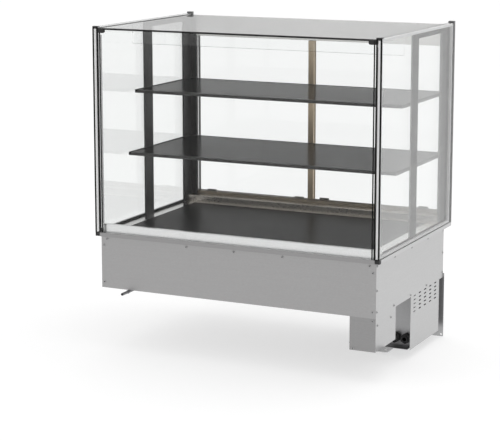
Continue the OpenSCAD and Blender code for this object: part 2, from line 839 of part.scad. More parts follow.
// Flat steel posts, two at each side
module frame_posts() {
    color([0.23, 0.23, 0.22]) both_sides() {
        span([x_post, y_mid_post, z_deck], [x_in, y_mid_post + post_w, z_rail]);
        span([x_post, y_back_post, z_deck], [x_in, y_back, z_rail]);
    }
}

// Flat rails that tie the posts at the top
module top_rails() {
    color([0.23, 0.23, 0.22]) both_sides()
        span([x_post, y_mid_post + post_w, z_rail - rail_h], [x_in, y_back_post, z_rail]);
}

// Rear uprights that frame the doors
module rear_uprights() {
    wall = 2;
    color([0.28, 0.28, 0.27]) both_sides() difference() {
        span([x_upright, y_back, z_upstand], [x_post, y_back_lip, z_rail]);
        span([x_upright + wall, y_back + wall, z_upstand - 1],
            [x_post - wall, y_back_lip - wall, z_rail + 1]);
    }
}

// Inverted channel across the top rear, with the two upper door guides inside
module rear_top_beam() {
    wall = 2;
    y_rib = (y_groove[0] + y_groove[1]) / 2;
    color([0.7, 0.69, 0.66]) {
        difference() {
            span([-x_upright, y_back, z_beam], [x_upright, y_back_lip, z_rail]);
            span([-x_upright - 1, y_back + wall, z_beam - 1],
                [x_upright + 1, y_back_lip - wall, z_rail - wall]);
        }
        span([-x_upright, y_rib - 0.8, z_door_top - 12], [x_upright, y_rib + 0.8, z_rail - wall]);
    }
}

// Bottom track with two grooves
module door_track() {
    color("silver") difference() {
        span([-x_upright, y_back + 5, z_upstand],
            [x_upright, y_back + 5 + 3 * track_wall + 2 * groove_w, z_upstand + track_h]);
        for (y = y_groove) span([-x_upright - 1, y - groove_w / 2, z_track],
            [x_upright + 1, y + groove_w / 2, z_upstand + track_h + 1]);
    }
}

// Top glass, resting on the top rails and the rear beam
module top_glass() {
    color([0.8, 0.9, 0.9, 0.3])
        span([-x_in + fit, y_lip + 14, z_rail], [x_in - fit, y_back_lip - 26, z_rail + top_glass_t]);
}

// Clear strip that hangs under the top glass and keeps the warm air in
module air_deflector() {
    y0 = y_lip + 240;
    drop = 66;
    color([0.85, 0.95, 0.95, 0.3]) span([-x_in + 2, y0, z_rail - drop], [x_in - 2, y0 + 4, z_rail]);
}

// Shelf glass at height z, with its front edge at distance set from the lip
module shelf_glass(z, set) {
    color([0.05, 0.05, 0.06]) span([-x_post + arm_w * 0.3 + fit, y_lip + set + 2, z + 5],
        [x_post - arm_w * 0.3 - fit, y_back - 6, z + 5 + shelf_glass_t]);
}

// Shelf frame: two side arms on the posts and a front and a rear profile that hold the glass
module shelf_frame(z, set) {
    leg = 5;
    skin = 2;
    side = arm_w * 0.3;
    y0 = y_lip + set;
    y1 = y_back - 4;
    color([0.18, 0.18, 0.17]) {
        both_sides() difference() {
            span([x_post - arm_w, y0, z], [x_post, y1, z + shelf_frame_h]);
            span([x_post - arm_w - 1, y0 - 1, z + leg], [x_post - side, y1 + 1, z + shelf_frame_h + 1]);
        }
        for (y = [y0, y1 - 10]) difference() {
            span([-x_post + arm_w + fit, y, z], [x_post - arm_w - fit, y + 10, z + shelf_frame_h - 1.5]);
            translate([0, y == y0 ? skin : -skin, 0])
                span([-x_post, y, z + skin], [x_post, y + 10, z + leg + shelf_glass_t]);
        }
    }
}

module upper_shelf_glass() {
    shelf_glass(z_flange + upper_shelf_z, upper_shelf_set);
}

module upper_shelf_frame() {
    shelf_frame(z_flange + upper_shelf_z, upper_shelf_set);
}

module lower_shelf_glass() {
    shelf_glass(z_flange + lower_shelf_z, lower_shelf_set);
}

module lower_shelf_frame() {
    shelf_frame(z_flange + lower_shelf_z, lower_shelf_set);
}

// Flat heater under the glass of each shelf
module shelf_heaters() {
    color("dimgray") for (s = [[lower_shelf_z, lower_shelf_set], [upper_shelf_z, upper_shelf_set]])
        span([-x_post + arm_w + 2, y_lip + s[1] + 3, z_flange + s[0] + 2],
            [x_post - arm_w - 2, y_back - 7, z_flange + s[0] + 5]);
}

// Half width of the front glass
function front_half() = x_in - 5;

// Hinged front glass, with a slot at each top corner for its clamp
module front_glass() {
    color([0.8, 0.9, 0.9, 0.3]) difference() {
        span([-front_half(), y_lip, z_flange + front_gap], [front_half(), y_lip + front_t, z_front_top]);
        both_sides() span([front_half() - clamp_w / 2 - 0.2, y_lip - 1, z_front_top - clamp_h - 0.2],
            [front_half() + 1, y_lip + front_t + 1, z_front_top + 1]);
    }
}

// Side outline of a clamp, rounded at its lower inboard corner
module clamp_outline(w) {
    r = 6;
    translate([0, clamp_h / 2]) square([w, clamp_h / 2]);
    translate([r, 0]) square([w - r, clamp_h]);
    translate([r, r]) circle(r);
    translate([0, r]) square([r, clamp_h - r]);
}

// Black clamps that hold the front glass's top corners, each with its pivot pin
module glass_clamps() {
    cheek = 2.4;
    x0 = front_half() - clamp_w;
    z0 = z_front_top - clamp_h;
    color([0.05, 0.05, 0.05]) both_sides() {
        difference() {
            translate([x0, y_lip + front_t + cheek, z0]) rotate([90, 0, 0])
                linear_extrude(front_t + 2 * cheek) clamp_outline(clamp_w);
            difference() {
                span([x0 - 1, y_lip, z0 - 1], [front_half() + 1, y_lip + front_t, z_front_top + 1]);
                span([x0 + clamp_w / 2, y_lip - 1, z0 - 2],
                    [front_half() + 2, y_lip + front_t + 1, z_front_top + 2]);
            }
        }
        rod_x(y_pivot, z_pivot, pivot_d, front_half() - 0.1, x_in - 0.5);
    }
}

// Pivot plates on the inner side panes, with the bores that the pins turn in
module pivot_plates() {
    x0 = front_half() + 1;
    color([0.05, 0.05, 0.05]) both_sides() difference() {
        span([x0, y_lip + 0.5, z_front_top - clamp_h], [x_in, y_lip + 13, z_front_top]);
        rod_x(y_pivot, z_pivot, pivot_d + 2 * run_clear, x0 - 1, x_in + 1);
    }
}

// Left and right edge of a door; side is -1 for the left door
function door_x(side) = side < 0 ? [1 - x_upright, x_meet + stile_w / 2]
    : [x_meet - stile_w / 2, x_upright - 1];

// Door glass in track number groove
module door_glass(side, groove) {
    y = y_groove[groove];
    x = door_x(side);
    color([0.8, 0.9, 0.9, 0.3])
        span([x[0] + (side < 0 ? 0 : 2), y - door_t / 2, z_door],
            [x[1] - (side < 0 ? 2 : 0), y + door_t / 2, z_door_top]);
}

// Meeting stile of a door: a channel round the glass edge, with a finger groove in each face
module door_stile(side, groove) {
    y = y_groove[groove];
    z_stile = z_beam - 2;
    color([0.7, 0.68, 0.64]) translate([x_meet, y, 0]) difference() {
        span([-stile_w / 2, -stile_d / 2, z_door], [stile_w / 2, stile_d / 2, z_stile]);
        mirror([side < 0 ? 1 : 0, 0, 0])
            span([2 - stile_w / 2, -door_t / 2, z_door - 1], [stile_w / 2 + 1, door_t / 2, z_stile + 1]);
        for (f = [-1, 1]) translate([0, f * stile_d / 2, 0])
            span([-4, -1, z_door + 20], [4, 1, z_stile - 20]);
    }
}

// Two shoes under a door, each with a wheel that runs in the track groove
module door_rollers(side, groove) {
    shoe = [36, 9, 14];
    x = door_x(side);
    color("dimgray") for (f = [0.12, 0.88])
        translate([x[0] + f * (x[1] - x[0]), y_groove[groove], z_track]) {
            difference() {
                span([-shoe[0] / 2, -shoe[1] / 2, 3], [shoe[0] / 2, shoe[1] / 2, 3 + shoe[2]]);
                span([-shoe[0], -door_t / 2, z_door - z_track], [shoe[0], door_t / 2, 4 + shoe[2]]);
            }
            translate([0, 2, 0.2 + roller_d / 2]) rotate([90, 0, 0]) cylinder(d = roller_d, h = 4);
        }
}

module left_door_glass() {
    door_glass(-1, 0);
}

module left_door_stile() {
    door_stile(-1, 0);
}

module left_door_rollers() {
    door_rollers(-1, 0);
}

module right_door_glass() {
    door_glass(1, 1);
}

module right_door_stile() {
    door_stile(1, 1);
}

module right_door_rollers() {
    door_rollers(1, 1);
}

counter_flange();
front_upstand();
rear_ledge();
side_trims();
hot_plate();
deck_heaters();
deck_insulation();
temperature_probe();
base_front_panel();
base_rear_panel();
base_left_panel();
base_right_panel();
base_bottom_panel();
corner_brackets();
junction_box();
junction_cover();
foot_plate();
drain_tube();
control_housing();
control_panel();
rocker_housing();
main_rocker();
regulator_bodies();
deck_knob();
lower_shelf_knob();
upper_shelf_knob();
pilot_lamps();
cable_glands();
gland_nuts();
terminal_block();
power_relays();
wiring();
panel_screws();
outer_panes();
inner_panes();
glazing_spacers();
glazing_caps();
glazing_gaskets();
rear_corner_posts();
frame_posts();
top_rails();
rear_uprights();
rear_top_beam();
door_track();
top_glass();
air_deflector();
upper_shelf_glass();
upper_shelf_frame();
lower_shelf_glass();
lower_shelf_frame();
shelf_heaters();
front_glass();
glass_clamps();
pivot_plates();
left_door_glass();
left_door_stile();
left_door_rollers();
right_door_glass();
right_door_stile();
right_door_rollers();
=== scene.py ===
import json
import math
import random

import bmesh
import bpy
from mathutils import Euler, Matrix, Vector


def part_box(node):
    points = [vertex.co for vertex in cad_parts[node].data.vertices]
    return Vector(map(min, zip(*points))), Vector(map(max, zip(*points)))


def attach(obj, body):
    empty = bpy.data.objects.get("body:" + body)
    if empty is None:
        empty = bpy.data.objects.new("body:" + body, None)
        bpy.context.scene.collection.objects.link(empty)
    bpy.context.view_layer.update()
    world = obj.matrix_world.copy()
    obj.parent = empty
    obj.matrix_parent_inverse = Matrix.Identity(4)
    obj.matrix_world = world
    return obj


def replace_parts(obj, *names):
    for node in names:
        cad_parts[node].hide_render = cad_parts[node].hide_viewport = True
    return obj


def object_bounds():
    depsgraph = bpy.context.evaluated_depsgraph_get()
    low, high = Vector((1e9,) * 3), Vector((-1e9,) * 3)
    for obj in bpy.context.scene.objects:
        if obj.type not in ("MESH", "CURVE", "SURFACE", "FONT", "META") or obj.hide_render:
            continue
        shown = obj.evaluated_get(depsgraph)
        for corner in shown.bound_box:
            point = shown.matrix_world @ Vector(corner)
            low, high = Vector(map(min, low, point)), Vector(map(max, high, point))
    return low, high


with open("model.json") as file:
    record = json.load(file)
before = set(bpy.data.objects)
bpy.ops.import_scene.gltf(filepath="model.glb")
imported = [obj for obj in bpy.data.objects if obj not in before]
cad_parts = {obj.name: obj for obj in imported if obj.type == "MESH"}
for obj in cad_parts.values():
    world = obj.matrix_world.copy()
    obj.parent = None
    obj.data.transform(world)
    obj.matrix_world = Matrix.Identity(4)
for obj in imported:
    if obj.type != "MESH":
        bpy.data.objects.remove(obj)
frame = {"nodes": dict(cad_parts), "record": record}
cad_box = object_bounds()
cad = frame["nodes"]
scene = bpy.context.scene

# ---------------------------------------------------------------- camera
# It stands on the customer side, a little to the right of the case and above it. The lens is
# long, so that upright lines stay close to parallel.
camera = bpy.data.objects.new("camera", bpy.data.cameras.new("camera"))
scene.collection.objects.link(camera)
camera.location = (2.4592, -4.9865, 1.2169)
camera.rotation_euler = (math.radians(90 - 9.65), 0, 0.4476)
camera.data.sensor_width = 36
camera.data.lens = 120.75
camera.data.shift_y = -0.1
camera.data.clip_end = 400
scene.camera = camera
scene.view_settings.view_transform = "Standard"
scene.cycles.max_bounces = 20
scene.cycles.transmission_bounces = 20
scene.cycles.transparent_max_bounces = 24

# ---------------------------------------------------------------- counter flange
# One folded sheet of brushed stainless steel: the deck edge, the lip that lies on the counter
# and the well for the heaters. It is laser cut, folded and spot welded, then left brushed.


class Value:
    """A socket in a material that can be used in sums."""

    def __init__(self, finish, socket):
        self.finish, self.socket = finish, socket

    def _sum(self, operation, a, b):
        return self.finish.add("ShaderNodeMath", {"operation": operation}, {0: a, 1: b})

    def __add__(self, other):
        return self._sum("ADD", self, other)

    def __radd__(self, other):
        return self._sum("ADD", other, self)

    def __mul__(self, other):
        return self._sum("MULTIPLY", self, other)

    def __rmul__(self, other):
        return self._sum("MULTIPLY", other, self)

    def __lt__(self, other):
        return self._sum("LESS_THAN", self, other)

    def __gt__(self, other):
        return self._sum("GREATER_THAN", self, other)

    def __or__(self, other):
        return self._sum("MAXIMUM", self, other)


class Finish:
    """A material, or the world's light, as it is put together."""

    def __init__(self, name, kind=bpy.data.materials):
        self.made = kind.new(name)
        self.made.use_nodes = True
        self.tree = self.made.node_tree
        self.tree.nodes.clear()

    def add(self, kind, settings, sockets, out=0):
        """Adds one node: its settings first, then the values or links of its sockets."""
        node = self.tree.nodes.new(kind)
        for name, value in settings.items():
            if name == "stops":
                ramp = node.color_ramp
                while len(ramp.elements) < len(value):
                    ramp.elements.new(0.5)
                for element, (position, colour) in zip(ramp.elements, value):
                    element.position, element.color = position, (*colour, 1)
            else:
                setattr(node, name, value)
        for name, value in sockets.items():
            if isinstance(value, Value):
                self.tree.links.new(value.socket, node.inputs[name])
            elif isinstance(value, tuple) and node.inputs[name].type == "RGBA":
                node.inputs[name].default_value = (*value, 1)
            else:
                node.inputs[name].default_value = value
        return Value(self, node.outputs[out]) if len(node.outputs) else None

    def place(self, scale=(1, 1, 1)):
        """The point on the object, in metres, stretched by scale."""
        point = self.add("ShaderNodeTexCoord", {}, {}, 3)
        return self.add("ShaderNodeMapping", {}, {"Vector": point, "Scale": scale})

    def axes(self):
        """The three coordinates of the point on the object."""
        point = self.place()
        return [self.add("ShaderNodeSeparateXYZ", {}, {0: point}, i) for i in range(3)]

    def noise(self, scale, stretch=(1, 1, 1), detail=3.0):
        return self.add("ShaderNodeTexNoise", {},
                        {"Vector": self.place(stretch), "Scale": scale, "Detail": detail})

    def brush_marks(self, axis, along, across, detail=2.0):
        """Noise drawn out along one axis. along and across are its marks in each metre."""
        return self.noise(1.0, tuple(along if i == axis else across for i in range(3)), detail)

    def tint(self, mask, dark, light):
        """A colour between dark and light."""
        return self.add("ShaderNodeMix", {"data_type": "RGBA"}, {0: mask, 6: dark, 7: light}, 2)

    def shade(self, mask, tone, dark, light):
        """One tone, made darker and lighter by those factors."""
        return self.tint(mask, tuple(c * dark for c in tone), tuple(min(1.0, c * light) for c in tone))

    def bump(self, height, distance, strength=0.6):
        return self.add("ShaderNodeBump", {},
                        {"Height": height, "Distance": distance, "Strength": strength})

    def surface(self, **sockets):
        """The shader itself; names use _ for a space."""
        named = {name.replace("_", " "): value for name, value in sockets.items()}
        return self.add("ShaderNodeBsdfPrincipled", {}, named)

    def done(self, shader):
        self.add("ShaderNodeOutputMaterial", {}, {"Surface": shader})
        return self.made


def brushed_steel(name, tone, along, rough=0.36, shade_tone=None, shade_before_y=0.0):
    """Brushed stainless sheet. along is the axis, 0 to 2, that the brush marks follow.
    The tone given for the front is painted, as shade, on what lies in front of the y given with it."""
    f = Finish(name)
    fine = f.brush_marks(along, 14.0, 1400.0)
    band = f.brush_marks(along, 2.0, 160.0, 3.0)
    cloud = f.noise(5.0)
    stroke = f.brush_marks(along, 130.0, 460.0)
    grain = fine * 0.30 + band * 0.12 + cloud * 0.10 + stroke * 0.48
    colour = f.shade(grain, tone, 0.80, 1.20)
    if shade_tone:
        # painted shade: the faces in front of that y take the darker tone
        colour = f.tint(f.axes()[1] < shade_before_y, colour, f.shade(grain, shade_tone, 0.88, 1.12))
    return f.done(f.surface(
        Base_Color=colour, Metallic=1.0,
        Roughness=grain * 0.12 + (rough - 0.06) + cloud * 0.04,
        Normal=f.bump(fine * 0.8 + band * 0.2, 0.00002, 0.35)))


def finish_node(node, material, edge=0.0, segments=2):
    """Gives a CAD node its material, and a small rounded edge where edge is its width."""
    part = cad[node]
    part.data.materials.clear()
    part.data.materials.append(material)
    if edge:
        weld = part.modifiers.new("weld", "WELD")
        weld.merge_threshold = 0.00001
        bevel = part.modifiers.new("edge", "BEVEL")
        bevel.width, bevel.segments = edge, segments
        bevel.limit_method, bevel.angle_limit = "ANGLE", math.radians(50)
        bevel.harden_normals = False


# the front fold of the lip, one sheet thick, is painted darker than the deck behind it, as painted
# shade on the face that turns to the front
fold_t = 0.0015
lip_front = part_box("counter_flange")[0].y
flange_steel = brushed_steel("flange steel", (0.55, 0.55, 0.552), 1, 0.36,
                             shade_tone=(0.31, 0.306, 0.307), shade_before_y=lip_front + fold_t)
finish_node("counter_flange", flange_steel, 0.0012, 3)

# ---------------------------------------------------------------- deck trims
# The front upstand, the side trims and the rear ledge are thin folded strips of bright steel
# that frame the hot plate. The ledge also carries the door track.
bright_x = brushed_steel("bright steel, grain across", (0.82, 0.82, 0.82), 0, 0.30)
bright_y = brushed_steel("bright steel, grain to the back", (0.96, 0.94, 0.91), 1, 0.20)
# the ledge's warm beige tint is a painted reflection on the grey steel
ledge_steel_with_reflection = brushed_steel("ledge steel", (0.52, 0.485, 0.44), 0, 0.26)
finish_node("front_upstand", bright_x, 0.0008)
finish_node("side_trims", bright_y, 0.0006)
finish_node("rear_ledge", ledge_steel_with_reflection, 0.0010)

# ---------------------------------------------------------------- hot plate
# A 6 mm plate of black glass ceramic with ground edges. It lies on the rim of the well and is
# sealed with a bead of black silicone. Foil heater pads and mineral wool lie under it.


def black_glass(name, rough, smear):
    """Black glass ceramic: dark and glossy, with a faint film left by wiping."""
    f = Finish(name)
    wipe = f.noise(1.0, (9.0, 60.0, 60.0), 4.0)
    film = f.noise(6.0, detail=5.0)
    return f.done(f.surface(
        Base_Color=f.tint(film * 0.5 + wipe * 0.5, (0.008, 0.008, 0.008), (0.026, 0.026, 0.024)),
        Roughness=film * smear + wipe * smear + rough,
        Specular_IOR_Level=0.035, IOR=1.5))


finish_node("hot_plate", black_glass("hot plate glass", 0.20, 0.12), 0.0008)

f = Finish("heater foil")
crease = f.noise(70.0, detail=4.0)
foil = f.done(f.surface(
    Base_Color=f.tint(crease, (0.45, 0.45, 0.46), (0.70, 0.70, 0.71)), Metallic=1.0,
    Roughness=crease * 0.25 + 0.22, Normal=f.bump(crease, 0.0004)))
finish_node("deck_heaters", foil)

f = Finish("mineral wool")
fibre = f.noise(1.0, (60.0, 420.0, 420.0), 6.0)
clump = f.noise(40.0)
finish_node("deck_insulation", f.done(f.surface(
    Base_Color=f.tint(fibre * 0.6 + clump * 0.4, (0.30, 0.24, 0.12), (0.66, 0.58, 0.36)),
    Roughness=fibre * 0.1 + 0.85, Normal=f.bump(fibre, 0.0008))))

f = Finish("copper bulb")
stain = f.noise(90.0)
finish_node("temperature_probe", f.done(f.surface(
    Base_Color=f.tint(stain, (0.46, 0.24, 0.13), (0.80, 0.50, 0.32)), Metallic=1.0,
    Roughness=stain * 0.2 + 0.25)))


def shown(name, mesh, body, material):
    """Puts a finished mesh on its CAD body."""
    piece = bpy.data.objects.new(name, mesh)
    scene.collection.objects.link(piece)
    if not mesh.materials:
        mesh.materials.append(material)
    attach(piece, body)
    return piece


def rings_mesh(name, loops, closed_ends=True):
    """A skin over a row of point loops of the same length."""
    bm = bmesh.new()
    rows = [[bm.verts.new(p) for p in loop] for loop in loops]
    count = len(rows[0])
    for a, b in zip(rows, rows[1:]):
        for i in range(count):
            j = (i + 1) % count
            bm.faces.new((a[i], a[j], b[j], b[i]))
    if closed_ends:
        bm.faces.new(rows[0][::-1])
        bm.faces.new(rows[-1])
    bmesh.ops.recalc_face_normals(bm, faces=bm.faces)
    mesh = bpy.data.meshes.new(name)
    bm.to_mesh(mesh)
    bm.free()
    return mesh


plate_low, plate_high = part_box("hot_plate")
bead_w, bead_h, corner = 0.0034, 0.0007, 0.004
bead_sunk, root_sunk = 0.0002, 0.001
loops = []
for k in range(7):
    angle = math.pi * k / 6
    radius = corner + 0.5 * bead_w * math.cos(angle)
    z = plate_high.z - bead_sunk + bead_h * math.sin(angle)
    loop = []
    for side_x, side_y, start in ((1, 1, 0), (-1, 1, 90), (-1, -1, 180), (1, -1, 270)):
        x = (plate_high.x if side_x > 0 else plate_low.x) - side_x * corner
        y = (plate_high.y if side_y > 0 else plate_low.y) - side_y * corner
        for step in range(5):
            a = math.radians(start + step * 22.5)
            loop.append(Vector((x + radius * math.cos(a), y + radius * math.sin(a), z)))
    loops.append(loop)
root = [[Vector((p.x, p.y, plate_high.z - root_sunk)) for p in loop] for loop in (loops[0], loops[-1])]
loops = [root[0], *loops, root[1]]
f = Finish("black silicone")
dust = f.noise(260.0)
silicone = f.done(f.surface(
    Base_Color=f.tint(dust, (0.012, 0.012, 0.012), (0.05, 0.05, 0.05)),
    Roughness=dust * 0.2 + 0.45, Normal=f.bump(dust, 0.0001, 0.3)))
seal_mesh = rings_mesh("plate_seal", loops, closed_ends=False)
for polygon in seal_mesh.polygons:
    polygon.use_smooth = True
shown("plate_seal", seal_mesh, "case", silicone)

# ---------------------------------------------------------------- base box
# Laser-cut panels of 1.5 mm brushed steel, screwed to corner angles. The right panel runs on
# down as the vented side of the control housing.
# One steel in two tones: the panels with grain across are painted darker as shade, the side panels
# lighter as painted light.
shaded_panel_steel = brushed_steel("base panel, grain across", (0.392, 0.388, 0.389), 0, 0.44)
lit_panel_steel = brushed_steel("base side, grain to the back", (0.552, 0.552, 0.553), 1, 0.42)
for node in ("base_front_panel", "base_rear_panel", "base_bottom_panel", "corner_brackets"):
    finish_node(node, shaded_panel_steel)
for node in ("base_left_panel", "base_right_panel"):
    finish_node(node, lit_panel_steel)

# ---------------------------------------------------------------- panel screws
# Pan-head self-tapping screws of plain steel with a six-lobe recess, one at each hole of the
# panels. Each sits flat on its sheet.


def solids_of(node):
    """The separate solids of a CAD node, each as its list of points."""
    bm = bmesh.new()
    bm.from_mesh(cad[node].data)
    bmesh.ops.remove_doubles(bm, verts=bm.verts, dist=0.00002)
    left, found = set(bm.verts), []
    while left:
        seed = left.pop()
        group, todo = [seed], [seed]
        while todo:
            for edge in todo.pop().link_edges:
                for v in edge.verts:
                    if v in left:
                        left.remove(v)
                        group.append(v)
                        todo.append(v)
        found.append([v.co.copy() for v in group])
    bm.free()
    return sorted(found, key=lambda points: tuple(
        round(c, 4) for c in sum(points, Vector()) / len(points)))


def extent(points):
    """The lowest and highest corners of a list of points."""
    low = Vector(min(p[i] for p in points) for i in range(3))
    high = Vector(max(p[i] for p in points) for i in range(3))
    return low, high


def turned(profile, count, lobes=0):
    """Loops of a turned shape about +Z from (radius, height, lobe depth) rows."""
    loops = []
    for radius, height, depth in profile:
        loop = []
        for i in range(count):
            a = 2 * math.pi * i / count
            r = radius + depth * math.cos(lobes * a)
            loop.append(Vector((r * math.cos(a), r * math.sin(a), height)))
        loops.append(loop)
    return loops


def repeat_tree(name):
    """A tree that puts one piece on every point, turned by the point's own angles."""
    tree = bpy.data.node_groups.new(name, "GeometryNodeTree")
    face = tree.interface
    face.new_socket("Points", in_out="INPUT", socket_type="NodeSocketGeometry")
    face.new_socket("Piece", in_out="INPUT", socket_type="NodeSocketObject")
    face.new_socket("Size", in_out="INPUT", socket_type="NodeSocketFloat").default_value = 1.0
    face.new_socket("Finish", in_out="INPUT", socket_type="NodeSocketMaterial")
    face.new_socket("Result", in_out="OUTPUT", socket_type="NodeSocketGeometry")
    new, link = tree.nodes.new, tree.links.new
    start, end = new("NodeGroupInput"), new("NodeGroupOutput")
    piece, turn = new("GeometryNodeObjectInfo"), new("GeometryNodeInputNamedAttribute")
    stretch = new("GeometryNodeInputNamedAttribute")
    turn.data_type = stretch.data_type = "FLOAT_VECTOR"
    turn.inputs["Name"].default_value = "turn"
    stretch.inputs["Name"].default_value = "stretch"
    to_rotation = new("FunctionNodeEulerToRotation")
    size = new("ShaderNodeVectorMath")
    size.operation = "SCALE"
    put, real = new("GeometryNodeInstanceOnPoints"), new("GeometryNodeRealizeInstances")
    paint = new("GeometryNodeSetMaterial")
    link(start.outputs["Piece"], piece.inputs["Object"])
    link(turn.outputs[0], to_rotation.inputs[0])
    link(stretch.outputs[0], size.inputs[0])
    link(start.outputs["Size"], size.inputs["Scale"])
    link(start.outputs["Points"], put.inputs["Points"])
    link(piece.outputs["Geometry"], put.inputs["Instance"])
    link(to_rotation.outputs[0], put.inputs["Rotation"])
    link(size.outputs[0], put.inputs["Scale"])
    link(put.outputs[0], real.inputs[0])
    link(real.outputs[0], paint.inputs["Geometry"])
    link(start.outputs["Finish"], paint.inputs["Material"])
    link(paint.outputs[0], end.inputs["Result"])
    return tree


place_tree = repeat_tree("one piece per point")


def repeated(name, piece_mesh, spots, material, size=1.0):
    """A plain mesh of piece_mesh at every spot, a (point, angles, stretch) row."""
    mesh = bpy.data.meshes.new(name + "_points")
    mesh.from_pydata([s[0] for s in spots], [], [])
    for attribute, column in (("turn", 1), ("stretch", 2)):
        values = mesh.attributes.new(attribute, "FLOAT_VECTOR", "POINT")
        values.data.foreach_set("vector", [c for s in spots for c in s[column]])
    points = bpy.data.objects.new(name + "_points", mesh)
    piece = bpy.data.objects.new(name + "_piece", piece_mesh)
    scene.collection.objects.link(points)
    scene.collection.objects.link(piece)
    modifier = points.modifiers.new("repeat", "NODES")
    modifier.node_group = place_tree
    ids = {s.name: s.identifier for s in place_tree.interface.items_tree}
    modifier[ids["Piece"]] = piece
    modifier[ids["Size"]] = size
    modifier[ids["Finish"]] = material
    bpy.context.view_layer.update()
    graph = bpy.context.evaluated_depsgraph_get()
    result = bpy.data.meshes.new_from_object(points.evaluated_get(graph))
    result.name = name
    bpy.data.objects.remove(points)
    bpy.data.objects.remove(piece)
    return result


head_r, head_h = 0.00425, 0.0024
recess_r, recess_floor, lobe = 0.00195, 0.0012, 0.00034
# domed head, then the recess down to its floor
screw_loops = turned([
    (head_r, 0.0, 0), (head_r, 0.0005, 0), (head_r * 0.95, 0.0012, 0), (head_r * 0.80, 0.0019, 0),
    (head_r * 0.60, head_h - 0.0001, 0), (recess_r, head_h, lobe),
    (recess_r - 0.00007, recess_floor, lobe - 0.00002), (0.0004, recess_floor - 0.0002, 0)], 36, 6)
screw_mesh = rings_mesh("screw_head", screw_loops)
# the recess faces are marked so that they can be painted near black as shade
recess_shade_marks = screw_mesh.attributes.new("recess", "FLOAT", "POINT")
recess_shade_marks.data.foreach_set("value", [
    float(math.hypot(v.co.x, v.co.y) < recess_r + lobe and v.co.z < recess_floor + 0.0001)
    for v in screw_mesh.vertices])
for polygon in screw_mesh.polygons:
    polygon.use_smooth = len(polygon.vertices) == 4
spots = []
random.seed(7)
for points in solids_of("panel_screws"):
    low, high = extent(points)
    span = high - low
    axis = min(range(3), key=lambda i: span[i])
    middle = (low + high) / 2
    across = [i for i in range(3) if i != axis]
    # only the points under the head say where the sheet is and which way is out
    wide = [p for p in points if math.hypot(*(p[i] - middle[i] for i in across)) > head_r * 0.8]
    flat = min(wide, key=lambda p: abs(p[axis] - middle[axis]))[axis]
    outward = Vector([0, 0, 0])
    outward[axis] = 1 if sum(p[axis] for p in wide) / len(wide) > middle[axis] else -1
    spot = middle.copy()
    spot[axis] = flat
    angles = (outward.to_track_quat("Z", "Y").to_matrix().to_4x4()
              @ Euler((0, 0, random.uniform(0, 1.0))).to_matrix().to_4x4()).to_euler()
    spots.append((spot, angles, (1, 1, 1)))
f = Finish("screw steel")
scratch = f.noise(900.0, detail=2.0)
recess = f.add("ShaderNodeAttribute", {"attribute_name": "recess"}, {}, 2)
head_colour = f.tint(scratch, (0.34, 0.34, 0.342), (0.52, 0.52, 0.522))
# painted shade: the recess is coloured near black
screw_steel = f.done(f.surface(
    Base_Color=f.tint(recess > 0.1, head_colour, (0.012, 0.012, 0.012)), Metallic=1.0,
    Roughness=scratch * 0.2 + 0.28))
screws = shown("panel_screw_heads", repeated("panel_screw_heads", screw_mesh, spots, screw_steel),
               "case", screw_steel)
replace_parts(screws, "panel_screws")

# ---------------------------------------------------------------- junction box, foot and drain
# A small folded box that hangs under the front right corner, its screwed cover, a fixing foot
# of 3 mm plate and a thin drain tube under the front left corner.
# the box takes the base sides' lighter tone, which is painted light
finish_node("junction_box", lit_panel_steel)
finish_node("junction_cover", brushed_steel("cover steel", (0.325, 0.322, 0.323), 0, 0.44))
finish_node("foot_plate", brushed_steel("foot steel, grain down", (0.62, 0.62, 0.625), 2, 0.40))
f = Finish("drain tube steel")
stain = f.noise(1.0, (300.0, 12.0, 300.0))
finish_node("drain_tube", f.done(f.surface(
    Base_Color=f.tint(stain, (0.16, 0.16, 0.17), (0.42, 0.42, 0.43)), Metallic=1.0,
    Roughness=stain * 0.2 + 0.34)))

# ---------------------------------------------------------------- control housing and glands
# A folded steel box under the rear right corner with an open cable bay in front of it. Two
# black nylon cable glands stand in its front wall, each with a domed nut.
finish_node("control_housing", brushed_steel("housing steel", (0.40, 0.40, 0.405), 0, 0.42))


def moulded(name, tone, rough=0.42, grain=700.0):
    """Moulded plastic with a fine spark-eroded texture."""
    f = Finish(name)
    pits = f.noise(grain, detail=2.0)
    patch = f.noise(18.0)
    return f.done(f.surface(
        Base_Color=f.shade(patch * 0.6 + pits * 0.4, tone, 0.8, 1.25),
        Roughness=pits * 0.16 + rough, Normal=f.bump(pits, 0.00006, 0.4)))


black_nylon = moulded("black nylon", (0.011, 0.011, 0.0115))
finish_node("cable_glands", black_nylon, 0.0006)


def hexagon(angle, flats):
    """Distance from the middle to the side of a hexagon with that width across its flats."""
    a = (angle + math.pi / 6) % (math.pi / 3) - math.pi / 6
    return flats / 2 / math.cos(a)


